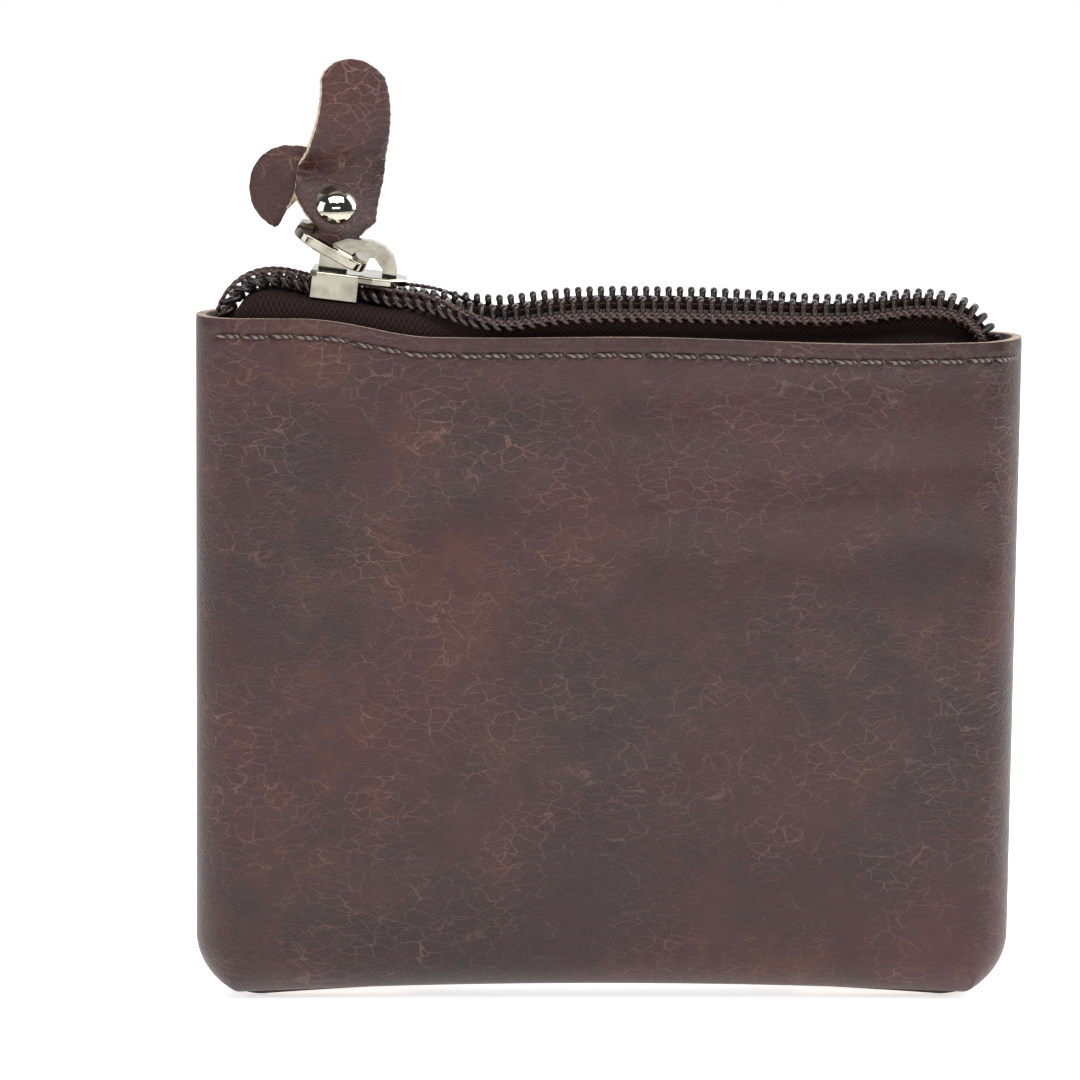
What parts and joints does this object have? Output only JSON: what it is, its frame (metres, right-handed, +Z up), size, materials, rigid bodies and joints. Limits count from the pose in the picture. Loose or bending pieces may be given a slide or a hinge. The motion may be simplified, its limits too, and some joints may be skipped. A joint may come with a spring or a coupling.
{
  "type": "coin purse",
  "caption": "Flat leather coin purse with a coil zipper along its mouth, a metal slider and ring, and a riveted leather pull strap.",
  "frame": {"origin": "centre of the purse's width and depth, at the level of the lowest point of its bottom corners", "axes": "+Z up towards the mouth, +X to the right as seen from the front, the front wall faces -Y"},
  "size_m": [0.1102, 0.0141, 0.1263],
  "materials": {
    "leather": "pull-up leather, dark burgundy brown, lightly creased",
    "strap_leather": "same leather with raw tan edges",
    "topstitch_thread": "bonded thread, dark brown",
    "zip_tape": "woven polyester, dark brown",
    "coil_nylon": "nylon monofilament, nearly black brown",
    "coil_cord": "filler cord",
    "chain_stitch": "polyester chain stitch, brown",
    "nickel": "nickel plated zinc, polished",
    "rivet_nickel": "nickel plated steel, polished"
  },
  "bodies": {
    "purse": {"front_panel": "leather", "back_panel": "leather", "front_topstitch": "topstitch_thread", "back_topstitch": "topstitch_thread", "seam_thread": "topstitch_thread", "front_zip_tape": "zip_tape", "back_zip_tape": "zip_tape", "front_coil": "coil_nylon", "back_coil": "coil_nylon", "front_coil_cord": "coil_cord", "back_coil_cord": "coil_cord", "front_coil_thread": "chain_stitch", "back_coil_thread": "chain_stitch"},
    "slider": {"slider_body": "nickel", "slider_crown": "nickel"},
    "ring": {"pull_ring": "nickel"},
    "strap": {"pull_strap": "strap_leather", "rivet_cap": "rivet_nickel", "rivet_post": "rivet_nickel"}
  },
  "joints": [
    {"name": "slider_slide", "type": "slide", "parent": "purse", "child": "slider", "axis": [1, 0, 0], "range_m": [-0.006, 0.076], "deforming": ["front_zip_tape", "front_coil", "front_coil_cord", "front_coil_thread", "back_zip_tape", "back_coil", "back_coil_cord", "back_coil_thread"]},
    {"name": "ring_swing", "type": "hinge", "parent": "slider", "child": "ring", "pos_m": [-0.03205, 0, 0.10004], "axis": [0, 1, 0], "range_deg": [0, 50]},
    {"name": "strap_swing", "type": "hinge", "parent": "ring", "child": "strap", "pos_m": [-0.03543, 0.00408, 0.10249], "axis": [0.866, 0, -0.5], "range_deg": [-60, 4]}
  ]
}
